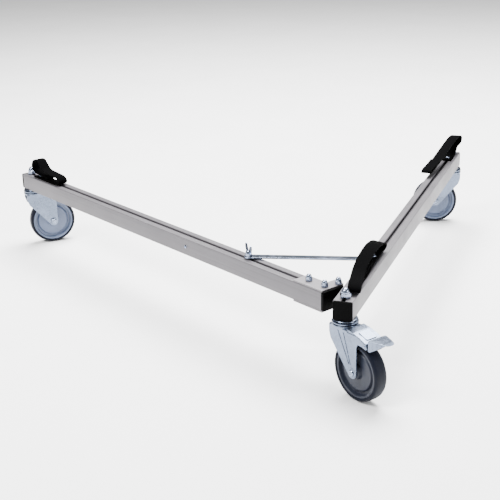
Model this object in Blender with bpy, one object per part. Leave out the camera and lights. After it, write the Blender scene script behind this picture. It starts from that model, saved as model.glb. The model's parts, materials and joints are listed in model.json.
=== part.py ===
"""Folding three-wheel ground support for a lighting stand: two slotted arms in a V, a hinge near
the corner, a sliding brace, three swivel casters and three webbing straps. Metres, +Z up, the floor
at Z = 0, the V opening towards +Y and the left arm on the -X side."""

import bmesh
import bpy
from math import acos, asin, atan2, cos, degrees, pi, radians, sin
from mathutils import Matrix, Vector

GAP = 0.0003

# Arms: square extrusions with a T-slot along the top. Lengths run over the end caps.
ARM_SIZE = 0.040
ARM_BOTTOM = 0.160
ARM_TOP = ARM_BOTTOM + ARM_SIZE
WALL = 0.0025
SLOT_HALF = 0.0042
SLOT_LIP = 0.0045
CHANNEL_HALF = 0.0080
CHANNEL_DEPTH = 0.0065
END_CAP = 0.004
CORNER_RADIUS = 0.0015
LEFT_ARM_LENGTH = 1.213
RIGHT_ARM_LENGTH = 1.189

# The fold: the pivot lies beside both arms, so that they close side by side.
OPEN_ANGLE = radians(60)
PIVOT_SIDE = 0.031
LEFT_ARM_START = -0.0095
RIGHT_ARM_START = -0.082
EAR_RADIUS = 0.0104
EAR_LENGTH = 0.022
BLOCK_FRONT = 0.0062
LUG_HALF_HEIGHT = 0.0077
PLATE = 0.003
PLATE_END = 0.079
PLATE_BOLTS_X = (0.007, 0.053)

# Threads: bolt radius, running hole, and the nuts' width across flats and height.
M8, M8_HOLE, M8_FLATS, M8_NUT = 0.0040, 0.0046, 0.013, 0.015
M12, M12_HOLE, M12_FLATS, M12_NUT = 0.0060, 0.0065, 0.019, 0.021
M5, M5_HOLE = 0.0025, 0.0028

# Brace: a flat bar from the right arm's slot to a wing screw over the left arm's slot.
BRACE_PIVOT_X = 0.156
WING_SCREW_X = 0.2425
BRACE_WIDTH = 0.020
BRACE_THICKNESS = 0.003
BRACE_LIFT = 0.0033

# Casters: swivel axis distance from the arm's end, and the headings of the three trails.
CASTER_INSET = 0.0225
TRAIL = 0.045
WHEEL_RADIUS = 0.0625
RIM_RADIUS = 0.0542
CROWN_TOP = 0.150
CROWN_BOTTOM = 0.1415
HEAD_RADIUS = 0.027
FORK_INNER = 0.0195
FORK_OUTER = 0.0222
BOSS_RADIUS = 0.012
LEFT_HEADING, FRONT_HEADING, RIGHT_HEADING = radians(-108.3), radians(-123.3), radians(108.7)

# Webbing straps.
STRAP_WIDTH = 0.027
STRAP_THICKNESS = 0.003
FRONT_STRAP_HEIGHT = BRACE_LIFT + BRACE_THICKNESS + GAP + STRAP_THICKNESS / 2 + 0.0002

# Axle, its sleeve, and the brake pedal's pivot in the caster's own axes.
AXLE = 0.0040
SLEEVE = 0.0075
WHEEL_SIDES = 24
BOLT_SIDES = 12
PEDAL_X, PEDAL_Z = 0.0800, 0.1300
PIN_HOLE = 0.0023

RIGHT_ARM_HEADING = radians(60)
LEFT_ARM_HEADING = RIGHT_ARM_HEADING + OPEN_ANGLE
WING_HEADING = radians(102)
SIDE_SCREW_X = 0.444


def clear_scene():
    for item in list(bpy.data.objects):
        bpy.data.objects.remove(item, do_unlink=True)


def make_material(name, colour, roughness, metallic):
    material = bpy.data.materials.new(name)
    material.use_nodes = True
    shader = material.node_tree.nodes["Principled BSDF"]
    shader.inputs["Base Color"].default_value = (*colour, 1.0)
    shader.inputs["Roughness"].default_value = roughness
    shader.inputs["Metallic"].default_value = metallic
    return material


def make_empty(name, location, heading=0.0, parent=None):
    empty = bpy.data.objects.new(name, None)
    empty.empty_display_size = 0.03
    empty.location = location
    empty.rotation_euler = (0.0, 0.0, heading)
    empty.parent = parent
    bpy.context.scene.collection.objects.link(empty)
    return empty


def finish_mesh(name, shape, material, parent, smooth=False):
    """Turn a bmesh into a named object under its parent, with its faces pointing out."""
    bmesh.ops.recalc_face_normals(shape, faces=shape.faces)
    mesh = bpy.data.meshes.new(name)
    shape.to_mesh(mesh)
    shape.free()
    if material:
        mesh.materials.append(material)
    if smooth:
        mesh.shade_smooth()
        mesh.set_sharp_from_angle(angle=radians(35))
    item = bpy.data.objects.new(name, mesh)
    item.parent = parent
    bpy.context.scene.collection.objects.link(item)
    return item


def add_prism(shape, outline, low, high, place=lambda u, v, w: (u, v, w)):
    """Add a closed prism to a bmesh: an outline in (u, v), from low to high along w."""
    bottom = [shape.verts.new(place(u, v, low)) for u, v in outline]
    top = [shape.verts.new(place(u, v, high)) for u, v in outline]
    shape.faces.new(bottom)
    shape.faces.new(top)
    for index in range(len(outline)):
        after = (index + 1) % len(outline)
        shape.faces.new((bottom[index], bottom[after], top[after], top[index]))


def upright(u, v, w):
    """Outlines in X and Z, extruded along Y."""
    return (u, w, v)


def lengthwise(u, v, w):
    """Outlines in Y and Z, extruded along X."""
    return (w, u, v)


def prism(name, outline, low, high, material, parent, place=lambda u, v, w: (u, v, w)):
    shape = bmesh.new()
    add_prism(shape, outline, low, high, place)
    return finish_mesh(name, shape, material, parent)


def add_turned(shape, outline, sides, centre=(0.0, 0.0, 0.0), axis="Z", hexagon=()):
    """Add a turned body: (radius, height) points about an axis, closed or with both ends on it.
    The points whose numbers are in hexagon get six flats, and their radius is the inner one."""
    rings = []
    for number, (radius, height) in enumerate(outline):
        count = sides if radius > 0 else 1
        ring = []
        for step in range(count):
            angle = 2 * pi * step / sides
            reach = radius
            if number in hexagon:
                reach = radius / cos((angle + pi / 6) % (pi / 3) - pi / 6)
            across, along = reach * cos(angle), reach * sin(angle)
            point = (across, along, height) if axis == "Z" else (across, height, along)
            ring.append(shape.verts.new(Vector(centre) + Vector(point)))
        rings.append(ring)
    closed = outline[0][0] > 0
    pairs = list(zip(rings, rings[1:])) + ([(rings[-1], rings[0])] if closed else [])
    for first, second in pairs:
        for step in range(sides):
            corners = [first[step % len(first)], first[(step + 1) % len(first)]]
            corners += [second[(step + 1) % len(second)], second[step % len(second)]]
            shape.faces.new(list(dict.fromkeys(corners)))


def turned(name, outline, material, parent, sides=24, **options):
    shape = bmesh.new()
    add_turned(shape, outline, sides, **options)
    return finish_mesh(name, shape, material, parent, smooth=True)


def boolean(target, tool, operation):
    tool.hide_render = True
    tool.display_type = "WIRE"
    modifier = target.modifiers.new(operation.title(), "BOOLEAN")
    modifier.operation = operation
    modifier.solver = "EXACT"
    modifier.object = tool


def drill(target, radius, points, low, high, axis="Z", sides=12):
    """Cut round holes that run from low to high along an axis, at points in the other two."""
    shape = bmesh.new()
    for first, second in points:
        centre = (first, second, 0.0) if axis == "Z" else (first, 0.0, second)
        add_turned(shape, [(0, low), (radius, low), (radius, high), (0, high)], sides, centre, axis)
    boolean(target, finish_mesh(target.name + "_holes", shape, None, target.parent), "DIFFERENCE")


def box_outline(left, right, low, high):
    return [(left, low), (right, low), (right, high), (left, high)]


def rounded_outline(left, right, low, high, radius, steps=2):
    points = []
    corners = ((right, high, 0.0), (left, high, pi / 2), (left, low, pi), (right, low, 1.5 * pi))
    for x, y, start in corners:
        x += radius if x == left else -radius
        y += radius if y == low else -radius
        for step in range(steps + 1):
            angle = start + pi / 2 * step / steps
            points.append((x + radius * cos(angle), y + radius * sin(angle)))
    return points


def arc(x, y, radius, start, stop, steps):
    """Points on an arc, with its ends, angles in degrees."""
    turn = [radians(start + (stop - start) * step / steps) for step in range(steps + 1)]
    return [(x + radius * cos(angle), y + radius * sin(angle)) for angle in turn]


def smooth_path(points, per_span):
    """A Catmull-Rom curve through the points, as Vectors."""
    knots = [Vector(point) for point in points]
    knots = [2 * knots[0] - knots[1]] + knots + [2 * knots[-1] - knots[-2]]
    path = []
    for a, b, c, d in zip(knots, knots[1:], knots[2:], knots[3:]):
        for step in range(per_span):
            t = step / per_span
            path.append(0.5 * (2 * b + (c - a) * t + (2 * a - 5 * b + 4 * c - d) * t ** 2
                               + (3 * b - a - 3 * c + d) * t ** 3))
    path.append(knots[-2])
    return path


# ---------------------------------------------------------------------------------------- arms

def arm_profile(name, start, end, side, material, parent):
    """An extrusion between two X positions, with its centre line beside the pivot."""
    outline = rounded_outline(side - ARM_SIZE / 2, side + ARM_SIZE / 2, ARM_BOTTOM, ARM_TOP,
                              CORNER_RADIUS, 2)
    arm = prism(name, outline, start, end, material, parent, lengthwise)
    lip, floor = ARM_TOP - SLOT_LIP, ARM_TOP - SLOT_LIP - CHANNEL_DEPTH
    slot = [(side - SLOT_HALF, ARM_TOP + 0.01), (side - SLOT_HALF, lip), (side - CHANNEL_HALF, lip),
            (side - CHANNEL_HALF, floor), (side + CHANNEL_HALF, floor), (side + CHANNEL_HALF, lip),
            (side + SLOT_HALF, lip), (side + SLOT_HALF, ARM_TOP + 0.01)]
    left, right = side - ARM_SIZE / 2 + WALL, side + ARM_SIZE / 2 - WALL
    inner, shoulder = CHANNEL_HALF + WALL, ARM_TOP - WALL
    hollow = [(left, ARM_BOTTOM + WALL), (right, ARM_BOTTOM + WALL), (right, shoulder),
              (side + inner, shoulder), (side + inner, floor - WALL), (side - inner, floor - WALL),
              (side - inner, shoulder), (left, shoulder)]
    shape = bmesh.new()
    for cutter in (slot, hollow):
        add_prism(shape, cutter, start - 0.01, end + 0.01, lengthwise)
    boolean(arm, finish_mesh(name + "_hollows", shape, None, parent), "DIFFERENCE")
    return arm


def end_cap(name, start, end, side, material, parent):
    outline = rounded_outline(side - ARM_SIZE / 2, side + ARM_SIZE / 2, ARM_BOTTOM, ARM_TOP, 0.004)
    return prism(name, outline, start, end, material, parent, lengthwise)


def slot_nut(shape, x, side, length=0.018, bore=M8_HOLE):
    """Add a nut that fills the T channel, with a bore for its screw."""
    low = ARM_TOP - SLOT_LIP - CHANNEL_DEPTH + GAP
    high = ARM_TOP - SLOT_LIP - GAP
    reach, sides = CHANNEL_HALF - GAP, 8
    around = [2 * pi * step / sides for step in range(sides)]
    rings = []
    for height in (low, high):
        hole = [shape.verts.new((x + bore * cos(a), side + bore * sin(a), height)) for a in around]
        rim = []
        for a in around:
            grow = 1 / max(abs(cos(a)), abs(sin(a)))
            point = (x + length / 2 * grow * cos(a), side + reach * grow * sin(a), height)
            rim.append(shape.verts.new(point))
        rings.append((hole, rim))
    for step in range(sides):
        after = (step + 1) % sides
        loops = (rings[0][0], rings[0][1], rings[1][1], rings[1][0])
        for first, second in zip(loops, loops[1:] + loops[:1]):
            shape.faces.new((first[step], first[after], second[after], second[step]))


def cap_nut_outline(flats, height, bore, base):
    """A domed nut with a blind bore; the first points carry the flats."""
    hex_height = 0.5 * height
    neck = 0.47 * flats
    dome = [(neck * cos(a), base + hex_height + (height - hex_height) * sin(a))
            for a in (0.0, radians(35), radians(65))]
    outer = [(flats / 2, base), (flats / 2, base + hex_height)] + dome + [(0, base + height)]
    return [(0, base + 0.78 * height), (bore, base + 0.78 * height), (bore, base)] + outer


CAP_NUT_FLATS = (3, 4)


def cap_nut(shape, x, y, base, flats, height, bore):
    outline = cap_nut_outline(flats, height, bore, base)
    add_turned(shape, outline, BOLT_SIDES, (x, y, 0.0), hexagon=CAP_NUT_FLATS)


def screw(shape, x, y, low, high, shank, head_radius, head_height, axis="Z"):
    """A screw with a round head above its shank's top, down to low."""
    outline = [(0, low), (shank, low), (shank, high), (head_radius, high),
               (head_radius, high + 0.6 * head_height), (0.7 * head_radius, high + head_height),
               (0, high + head_height)]
    centre = (x, y, 0.0) if axis == "Z" else (x, 0.0, y)
    add_turned(shape, outline, BOLT_SIDES, centre, axis)


# --------------------------------------------------------------------------------------- hinge

def ear_outline(front, back, inner, side_start):
    """The ear round the pivot: flat in front, rounded towards the other arm, square behind."""
    start = degrees(acos(front / EAR_RADIUS))
    curve = arc(0, 0, EAR_RADIUS, -start, -90, 5)
    return [(front, side_start)] + curve + [(back, -EAR_RADIUS), (back, inner)]


def build_hinge(left_arm, right_arm, materials):
    side = PIVOT_SIDE
    near, far = side - ARM_SIZE / 2, side + ARM_SIZE / 2
    arm_start = LEFT_ARM_START + BLOCK_FRONT
    middle = (ARM_BOTTOM + ARM_TOP) / 2
    lug_low, lug_high = middle - LUG_HALF_HEIGHT, middle + LUG_HALF_HEIGHT

    face = rounded_outline(near, far, ARM_BOTTOM, ARM_TOP, 0.003)
    block = prism("hinge_block", face, LEFT_ARM_START, arm_start - GAP, materials["black"],
                  left_arm, lengthwise)
    lug_outline = ear_outline(LEFT_ARM_START, EAR_LENGTH, near - GAP, near + 0.004)
    lug_outline += [(arm_start - GAP, near - GAP), (arm_start - GAP, near + 0.004)]
    ears = bmesh.new()
    for low, high in ((ARM_BOTTOM, lug_low - GAP), (lug_high + GAP, ARM_TOP)):
        add_prism(ears, lug_outline, low, high)
    boolean(block, finish_mesh("hinge_block_ears", ears, None, left_arm), "UNION")
    drill(block, M8_HOLE, [(0, 0)], 0.14, 0.22)

    plate_outline = ear_outline(LEFT_ARM_START + 0.004, EAR_LENGTH, near + 0.0005, far - 0.0005)
    plate_outline += [(PLATE_END, near + 0.0005), (PLATE_END, far - 0.0005)]
    holes = [(0, 0)] + [(x, side) for x in PLATE_BOLTS_X]
    levels = {"hinge_top_plate": ARM_TOP + GAP, "hinge_bottom_plate": ARM_BOTTOM - GAP - PLATE}
    for name, low in levels.items():
        plate = prism(name, plate_outline, low, low + PLATE, materials["plate"], left_arm)
        drill(plate, M8_HOLE, holes, 0.14, 0.22)

    head_top = ARM_BOTTOM - PLATE - 2 * GAP
    nut_base = ARM_TOP + PLATE + 2 * GAP
    places = {"hinge_front": (PLATE_BOLTS_X[0], side), "hinge_rear": (PLATE_BOLTS_X[1], side),
              "pivot": (0, 0)}
    for name, (x, y) in places.items():
        bolt, nut = bmesh.new(), bmesh.new()
        carriage_bolt(bolt, x, y, head_top, nut_base + 0.011)
        cap_nut(nut, x, y, nut_base, M8_FLATS, M8_NUT, M8 + GAP)
        finish_mesh(name + "_bolt", bolt, materials["steel"], left_arm, smooth=True)
        finish_mesh(name + "_nut", nut, materials["steel"], left_arm, smooth=True)

    # The lug on the right arm: a flange on the arm's inner side and a barrel between the ears.
    wall = -near + GAP
    flange, flange_reach = 0.004, 0.026
    barrel = arc(0, 0, EAR_RADIUS, 0, 180, 8)
    outline = barrel + [(-EAR_RADIUS, wall + flange), (-flange_reach, wall + flange),
                        (-flange_reach, wall), (flange_reach, wall),
                        (flange_reach, wall + flange), (EAR_RADIUS, wall + flange)]
    lug = prism("hinge_lug", outline, lug_low, lug_high, materials["black"], right_arm)
    drill(lug, M8_HOLE, [(0, 0)], 0.14, 0.22)
    hole = (0.020, middle)
    drill(lug, M5_HOLE, [hole], -0.02, 0.0, axis="Y")
    shape = bmesh.new()
    screw(shape, *hole, wall - 0.009, wall + flange + GAP, M5, 0.0042, 0.0025, axis="Y")
    finish_mesh("hinge_lug_screw", shape, materials["steel"], right_arm, smooth=True)
    return hole


def carriage_bolt(shape, x, y, head_top, end):
    """A bolt with a low domed head under the arm and its shank up to end."""
    outline = [(0, head_top - 0.004), (0.0045, head_top - 0.0036), (0.0078, head_top - 0.0012),
               (0.0078, head_top), (M8, head_top), (M8, end), (0, end)]
    add_turned(shape, outline, BOLT_SIDES, (x, y, 0.0))


# --------------------------------------------------------------------------------------- brace

def brace_geometry():
    """Bar length and heading in the right arm's axes, and its turn and the slot nut's travel
    while the left arm closes."""
    wing = Vector((WING_SCREW_X, PIVOT_SIDE))
    wing.rotate(Matrix.Rotation(OPEN_ANGLE, 2))
    reach = wing - Vector((BRACE_PIVOT_X, -PIVOT_SIDE))
    closed_heading = asin(2 * PIVOT_SIDE / reach.length)
    closed_x = BRACE_PIVOT_X + reach.length * cos(closed_heading)
    heading = atan2(reach.y, reach.x)
    return reach.length, heading, heading - closed_heading, closed_x - WING_SCREW_X


def build_brace(brace, left_arm, materials):
    length, bar_heading = brace_geometry()[:2]
    low = ARM_TOP + BRACE_LIFT
    top = low + BRACE_THICKNESS
    half = BRACE_WIDTH / 2
    outline = arc(0, 0, half, 90, 270, 6) + arc(length, 0, half, -90, 90, 6)
    bar = prism("brace_bar", outline, low, top, materials["steel"], brace)
    drill(bar, M8_HOLE, [(0, 0)], 0.19, 0.22)

    # The wing screw stands on the bar's far end. Its shank stops at the bar.
    drill(bar, M8_HOLE, [(length, 0)], 0.19, 0.22)
    wing_turn = WING_HEADING - RIGHT_ARM_HEADING - bar_heading
    wing = make_empty("wing_screw_axis", (length, 0, 0), wing_turn, brace)
    base = top + GAP
    hub = [(0, low + GAP), (M8, low + GAP), (M8, base), (0.0075, base), (0.0065, base + 0.010),
           (0.0050, base + 0.012), (0, base + 0.012)]
    screw_body = turned("wing_screw", hub, materials["steel"], wing, BOLT_SIDES)
    shape = bmesh.new()
    for way in (1, -1):
        leaf = [(0.003, base + 0.003), (0.010, base + 0.006), (0.0165, base + 0.017),
                (0.0165, base + 0.024), (0.0125, base + 0.027), (0.0085, base + 0.022),
                (0.003, base + 0.011)]
        add_prism(shape, [(way * x, z) for x, z in leaf], -0.0014, 0.0014, upright)
    boolean(screw_body, finish_mesh("wing_screw_leaves", shape, None, wing), "UNION")

    shape = bmesh.new()
    slot_nut(shape, WING_SCREW_X, PIVOT_SIDE, 0.024)
    finish_mesh("clamp_nut", shape, materials["steel"], left_arm)


def build_brace_pivot(right_arm, materials):
    """The spacer, shouldered screw and slot nut that hold the bar, and the front strap over it,
    on the right arm."""
    x, y = BRACE_PIVOT_X, -PIVOT_SIDE
    spacer = [(M8_HOLE, ARM_TOP + GAP), (0.009, ARM_TOP + GAP),
              (0.009, ARM_TOP + BRACE_LIFT - GAP), (M8_HOLE, ARM_TOP + BRACE_LIFT - GAP)]
    turned("brace_spacer", spacer, materials["steel"], right_arm, BOLT_SIDES, centre=(x, y, 0))
    head = ARM_TOP + FRONT_STRAP_HEIGHT + STRAP_THICKNESS / 2 + GAP
    shape = bmesh.new()
    screw(shape, x, y, ARM_TOP - 0.0105, head, M8, 0.0072, 0.0050)
    finish_mesh("brace_pivot_screw", shape, materials["steel"], right_arm, smooth=True)
    shape = bmesh.new()
    slot_nut(shape, x, y)
    finish_mesh("brace_slot_nut", shape, materials["steel"], right_arm)


# ------------------------------------------------------------------------------------- casters

def fork_outline(braked):
    """One side of the fork in X (along the trail) and Z."""
    boss = arc(TRAIL, WHEEL_RADIUS, BOSS_RADIUS, 218, 360, 6)
    points = [(-0.025, CROWN_TOP - 0.003), (-0.0242, 0.133)] + boss + [(TRAIL + BOSS_RADIUS, 0.1235)]
    if braked:
        points += [(0.061, 0.1275), (0.072, 0.1272), (0.083, 0.1245), (0.0875, 0.1270),
                   (0.0845, 0.1325), (0.066, 0.1402), (0.047, 0.1448)]
    else:
        points += [(0.055, 0.1315), (0.048, 0.1385), (0.038, 0.1435)]
    return points + [(0.026, CROWN_TOP - 0.003)]


def build_fork(name, swivel, braked, materials):
    fork = prism(name, fork_outline(braked), -FORK_OUTER, FORK_OUTER, materials["zinc"], swivel,
                 upright)
    channel = bmesh.new()
    add_prism(channel, box_outline(-0.06, 0.15, 0.03, CROWN_BOTTOM), -FORK_INNER, FORK_INNER, upright)
    boolean(fork, finish_mesh(name + "_channel", channel, None, swivel), "DIFFERENCE")
    if braked:
        shape = bmesh.new()
        add_prism(shape, box_outline(0.032, 0.15, 0.10, 0.16), -FORK_INNER, FORK_INNER, upright)
        boolean(fork, finish_mesh(name + "_opening", shape, None, swivel), "DIFFERENCE")
        drill(fork, PIN_HOLE, [(PEDAL_X, PEDAL_Z)], -0.03, 0.03, axis="Y")
    crown = bmesh.new()
    rim = [(0, CROWN_TOP - 0.006), (HEAD_RADIUS - 0.002, CROWN_TOP - 0.006),
           (HEAD_RADIUS, CROWN_TOP - 0.004), (HEAD_RADIUS, CROWN_TOP - 0.001),
           (HEAD_RADIUS - 0.002, CROWN_TOP), (0, CROWN_TOP)]
    add_turned(crown, rim, 24)
    boolean(fork, finish_mesh(name + "_crown", crown, None, swivel), "UNION")
    drill(fork, M12_HOLE, [(0, 0)], 0.12, 0.17)
    drill(fork, AXLE + GAP, [(TRAIL, WHEEL_RADIUS)], -0.03, 0.03, axis="Y")


def build_caster(prefix, arm, x, side, heading, braked, materials):
    """A stem caster under an arm: the stem, head and cap nut stay with the arm."""
    mount = make_empty(prefix + "_caster_stem", (x, side, 0), 0.0, arm)
    top = ARM_BOTTOM - GAP
    race = [(M12_HOLE, CROWN_TOP + GAP), (HEAD_RADIUS - 0.005, CROWN_TOP + GAP),
            (HEAD_RADIUS - 0.001, CROWN_TOP + 0.002), (HEAD_RADIUS, CROWN_TOP + 0.0045),
            (HEAD_RADIUS - 0.0015, CROWN_TOP + 0.007), (HEAD_RADIUS - 0.008, top), (M12_HOLE, top)]
    turned(prefix + "_swivel_head", race, materials["zinc"], mount)
    stem = [(0, 0.132), (0.0095, 0.132), (0.0095, CROWN_BOTTOM - GAP), (M12, CROWN_BOTTOM - GAP),
            (M12, ARM_TOP + 0.014), (0, ARM_TOP + 0.014)]
    turned(prefix + "_stem_bolt", stem, materials["steel"], mount, BOLT_SIDES)
    shape = bmesh.new()
    cap_nut(shape, 0, 0, ARM_TOP + GAP, M12_FLATS, M12_NUT, M12 + GAP)
    finish_mesh(prefix + "_cap_nut", shape, materials["steel"], mount, smooth=True)

    swivel = make_empty(prefix + "_swivel_axis", (0, 0, 0), heading, mount)
    build_fork(prefix + "_fork", swivel, braked, materials)
    wheel = make_empty(prefix + "_wheel_axis", (TRAIL, 0, WHEEL_RADIUS), 0.0, swivel)
    head, end = FORK_OUTER + GAP, FORK_OUTER + 0.0055
    bolt = [(0, -head - 0.0035), (0.0048, -head - 0.0035), (0.0070, -head - 0.0020),
            (0.0070, -head), (AXLE, -head), (AXLE, end), (0, end)]
    turned(prefix + "_axle_bolt", bolt, materials["steel"], wheel, BOLT_SIDES, axis="Y")
    nut = [(AXLE + GAP, head), (M8_FLATS / 2, head), (M8_FLATS / 2, head + 0.0055),
           (AXLE + GAP, head + 0.0055)]
    turned(prefix + "_axle_nut", nut, materials["steel"], wheel, BOLT_SIDES, axis="Y",
           hexagon=(1, 2))
    sleeve_end = FORK_INNER - GAP
    sleeve = [(AXLE + GAP, -sleeve_end), (SLEEVE, -sleeve_end), (SLEEVE, sleeve_end),
              (AXLE + GAP, sleeve_end)]
    turned(prefix + "_axle_sleeve", sleeve, materials["steel"], wheel, BOLT_SIDES, axis="Y")

    face = [(SLEEVE + GAP, 0.0180), (0.0150, 0.0180), (0.0170, 0.0090), (0.0400, 0.0090),
            (0.0430, 0.0035), (0.0490, 0.0035), (0.0500, 0.0130), (RIM_RADIUS, 0.0130)]
    rim = face + [(radius, -depth) for radius, depth in reversed(face)]
    turned(prefix + "_rim", rim, materials["rim"], wheel, WHEEL_SIDES, axis="Y")
    seat = RIM_RADIUS + GAP
    half = [(seat, 0.0130), (0.0570, 0.0152), (0.0605, 0.0130), (0.0625, 0.0050)]
    tyre = half + [(radius, -width) for radius, width in reversed(half)]
    turned(prefix + "_tyre", tyre, materials["tyre"], wheel, WHEEL_SIDES, axis="Y")
    return swivel


def build_brake(swivel, materials):
    """A sloping cover over the fork's wings and a foot pedal that carries the brake pad."""
    cover = [(0.0285, 0.1476), (0.047, 0.1455), (0.066, 0.1410), (0.0845, 0.1338),
             (0.0858, 0.1362), (0.067, 0.1435), (0.047, 0.1478), (0.0285, 0.1496)]
    prism("brake_cover", cover, -FORK_OUTER, FORK_OUTER, materials["zinc"], swivel, upright)

    pedal_axis = make_empty("brake_pedal_axis", (PEDAL_X, 0, PEDAL_Z), 0.0, swivel)
    width = FORK_OUTER
    plate = box_outline(0.0100, 0.0125, -0.008, 0.016)
    pedal = prism("brake_pedal", plate, -width, width, materials["zinc"], pedal_axis, upright)
    extras = bmesh.new()
    tongue = [(0.0110, -width), (0.030, -0.017), (0.048, -0.010), (0.051, -0.004),
              (0.051, 0.004), (0.048, 0.010), (0.030, 0.017), (0.0110, width)]
    add_prism(extras, tongue, 0.0140, 0.0162)
    for side in (-1, 1):
        low, high = sorted((side * 0.0165, side * (FORK_INNER - GAP)))
        add_prism(extras, box_outline(-0.0045, 0.011, -0.0045, 0.0026), low, high, upright)
    boolean(pedal, finish_mesh("brake_pedal_parts", extras, None, pedal_axis), "UNION")
    drill(pedal, PIN_HOLE, [(0, 0)], -0.03, 0.03, axis="Y")
    reach = FORK_OUTER + 0.001
    pin = [(0, -reach), (PIN_HOLE - GAP, -reach), (PIN_HOLE - GAP, reach), (0, reach)]
    turned("brake_pin", pin, materials["steel"], pedal_axis, BOLT_SIDES, axis="Y")
    pad = rounded_outline(-0.004, 0.0097, -0.0115, -0.0055, 0.0015, 2)
    prism("brake_pad", pad, -0.014, 0.014, materials["tyre"], pedal_axis, upright)


# -------------------------------------------------------------------------------------- straps

# Strap points in arm axes: distance from the arm's start, sideways, height over its top.
FRONT_STRAP = [(0.062, 0, 0.0022), (0.100, 0, 0.0022), (0.145, 0, 0.0030), (0.185, 0, 0.0083),
               (0.238, 0, 0.0083), (0.285, 0, 0.0086), (0.303, 0, 0.018), (0.290, 0, 0.030),
               (0.255, 0, 0.041), (0.215, 0, 0.043), (0.170, 0.001, 0.036), (0.120, 0.002, 0.030),
               (0.075, 0.001, 0.028), (0.052, 0, 0.022), (0.048, 0, 0.014), (0.060, 0, 0.0090),
               (0.078, 0, 0.0085)]
LEFT_STRAP = [(1.155, 0, 0.0022), (1.110, 0, 0.0022), (1.050, 0, 0.0022), (1.032, 0, 0.0050),
              (1.024, 0, 0.0130), (1.036, 0, 0.0230), (1.070, 0, 0.0250), (1.104, 0, 0.0280),
              (1.120, 0, 0.0400), (1.134, 0, 0.0500), (1.152, 0, 0.0480), (1.162, 0, 0.0350),
              (1.160, 0, 0.0220), (1.146, 0, 0.0150), (1.120, 0, 0.0140)]
RIGHT_STRAP = [(1.082, 0, 0.0022), (1.116, 0, 0.0022), (1.134, 0, 0.0040), (1.146, 0, 0.0140),
               (1.154, 0, 0.0255), (1.170, -0.001, 0.0280), (1.184, -0.002, 0.0330),
               (1.187, -0.002, 0.0430), (1.176, -0.001, 0.0500), (1.148, 0, 0.0500),
               (1.105, 0.002, 0.0430), (1.050, 0.006, 0.0340), (0.990, 0.010, 0.0260),
               (0.940, 0.015, 0.0190), (0.905, 0.019, 0.0140)]


def build_strap(name, points, start, side, arm, materials, hole_x, hole_radius):
    """A band of webbing swept along its path, flat across the arm, with its anchor hole."""
    path = [Vector((start + p.x, side + p.y, ARM_TOP + p.z)) for p in smooth_path(points, 2)]
    shape = bmesh.new()
    sections = []
    for index, point in enumerate(path):
        ahead = path[min(index + 1, len(path) - 1)] - path[max(index - 1, 0)]
        across = Vector((0, 1, 0))
        face = ahead.cross(across).normalized() * STRAP_THICKNESS / 2
        reach = across * STRAP_WIDTH / 2
        corners = (point - reach - face, point + reach - face, point + reach + face,
                   point - reach + face)
        sections.append([shape.verts.new(corner) for corner in corners])
    for first, second in zip(sections, sections[1:]):
        for step in range(4):
            after = (step + 1) % 4
            shape.faces.new((first[step], first[after], second[after], second[step]))
    shape.faces.new(sections[0])
    shape.faces.new(sections[-1])
    strap = finish_mesh(name, shape, materials["webbing"], arm, smooth=True)
    drill(strap, hole_radius, [(hole_x, side)], ARM_TOP - 0.01, ARM_TOP + 0.011)


def build_strap_anchor(name, x, side, arm, materials):
    """A T-head rivet: its head lies in the slot's channel and its dome holds the strap down."""
    head = ARM_TOP + 0.0022 + STRAP_THICKNESS / 2 + GAP
    shape = bmesh.new()
    screw(shape, x, side, ARM_TOP - 0.0090, head, M5, 0.0055, 0.0032)
    anchor = finish_mesh(name, shape, materials["steel"], arm, smooth=True)
    reach = CHANNEL_HALF - GAP
    shape = bmesh.new()
    add_prism(shape, box_outline(x - 0.007, x + 0.007, side - reach, side + reach),
              ARM_TOP - SLOT_LIP - 0.005, ARM_TOP - SLOT_LIP - GAP)
    boolean(anchor, finish_mesh(name + "_head", shape, None, arm), "UNION")


# ------------------------------------------------------------------------------------ assembly

def make_materials():
    return {
        "aluminium": make_material("anodised_aluminium", (0.50, 0.48, 0.49), 0.38, 0.9),
        "plate": make_material("plain_aluminium", (0.55, 0.54, 0.54), 0.45, 0.9),
        "black": make_material("black_plastic", (0.012, 0.012, 0.014), 0.4, 0.0),
        "steel": make_material("bright_zinc", (0.62, 0.65, 0.70), 0.25, 1.0),
        "zinc": make_material("zinc_plated_sheet", (0.60, 0.63, 0.67), 0.32, 1.0),
        "rim": make_material("grey_rim", (0.32, 0.35, 0.42), 0.45, 0.0),
        "tyre": make_material("grey_rubber", (0.055, 0.065, 0.09), 0.6, 0.0),
        "webbing": make_material("black_webbing", (0.008, 0.008, 0.010), 0.9, 0.0),
    }


def mesh_box():
    """The lowest and highest corners of every visible mesh."""
    bpy.context.view_layer.update()
    graph = bpy.context.evaluated_depsgraph_get()
    points = []
    for item in bpy.context.scene.objects:
        if item.type == "MESH" and not item.hide_render:
            shown = item.evaluated_get(graph)
            points += [shown.matrix_world @ vertex.co for vertex in shown.data.vertices]
    return [(min(p[axis] for p in points), max(p[axis] for p in points)) for axis in range(3)]


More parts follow.
